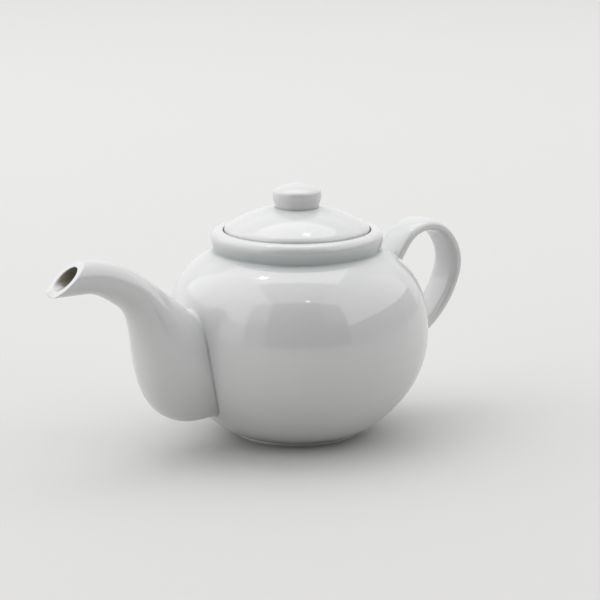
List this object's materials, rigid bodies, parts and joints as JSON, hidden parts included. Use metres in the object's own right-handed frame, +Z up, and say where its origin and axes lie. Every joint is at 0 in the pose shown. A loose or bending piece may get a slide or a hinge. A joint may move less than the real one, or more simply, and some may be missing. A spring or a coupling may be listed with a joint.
{
  "type": "teapot",
  "caption": "Round glazed porcelain teapot with a swan-neck spout, loop handle and lift-off domed lid with a knob.",
  "frame": {"origin": "centre of the foot ring on the surface that the pot stands on", "axes": "+Z up, the spout points along -X and the handle along +X, and the XZ plane is the plane of symmetry"},
  "size_m": [0.2772, 0.1512, 0.1448],
  "materials": {
    "pot_glaze": "gloss",
    "lid_glaze": "gloss",
    "bare_clay": "matte"
  },
  "bodies": {
    "pot": {"bowl_base": "pot_glaze", "bowl_belly": "pot_glaze", "bowl_shoulder": "pot_glaze", "foot_ring": "bare_clay", "rim_collar": "pot_glaze", "strainer": "pot_glaze", "spout": "pot_glaze", "spout_slip": "pot_glaze", "handle": "pot_glaze", "handle_slip_upper": "pot_glaze", "handle_slip_lower": "pot_glaze"},
    "lid": {"lid_dome": "lid_glaze", "lid_flange": "lid_glaze", "lid_knob": "lid_glaze"}
  },
  "joints": [
    {"name": "lid_lift", "type": "slide", "parent": "pot", "child": "lid", "axis": [0, 0, 1], "range_m": [0, 0.1]}
  ]
}
